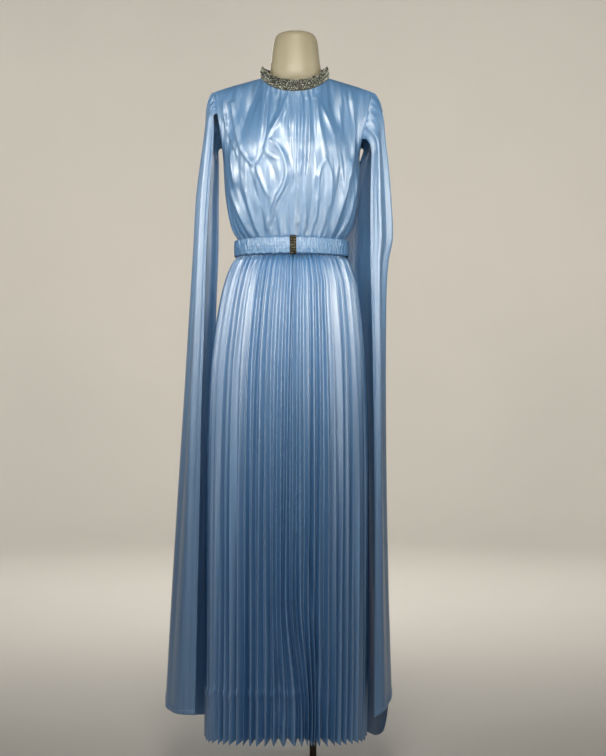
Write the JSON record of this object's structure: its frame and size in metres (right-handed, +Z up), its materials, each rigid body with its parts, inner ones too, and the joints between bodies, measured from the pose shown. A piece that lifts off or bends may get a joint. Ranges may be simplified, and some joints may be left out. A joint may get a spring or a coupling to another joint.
{
  "type": "maxi dress on a dress form",
  "caption": "Floor-length evening dress with open cape sleeves, a beaded neckband, a shirred belt and an accordion-pleated skirt, on a limbless dress form with a round plate.",
  "frame": {"origin": "on the floor, on the stand plate's underside, straight below the middle of the shoulders", "axes": "+Z up, -Y the way the dress faces, +X to the wearer's left"},
  "size_m": [0.5294, 0.3246, 1.709],
  "materials": {
    "satin": "liquid satin with a metallic sheen, ice blue",
    "pleated_satin": "the same satin, heat-set in narrow accordion pleats",
    "shirred_satin": "the same satin gathered over elastic, crinkled and duller",
    "beads": "silver beads and small clear stones",
    "clasp": "dark gold set with black stones",
    "form_shell": "cream lacquer, eggshell",
    "stand_steel": "dark bronze enamel"
  },
  "bodies": {
    "root": {"bodice_front": "satin", "bodice_back": "satin", "skirt_front": "pleated_satin", "skirt_back": "pleated_satin", "sleeve_right": "satin", "sleeve_left": "satin", "neckband": "beads", "belt": "shirred_satin", "clasp": "clasp", "form": "form_shell", "pole_socket": "stand_steel", "pole": "stand_steel", "plate": "stand_steel"}
  },
  "joints": []
}
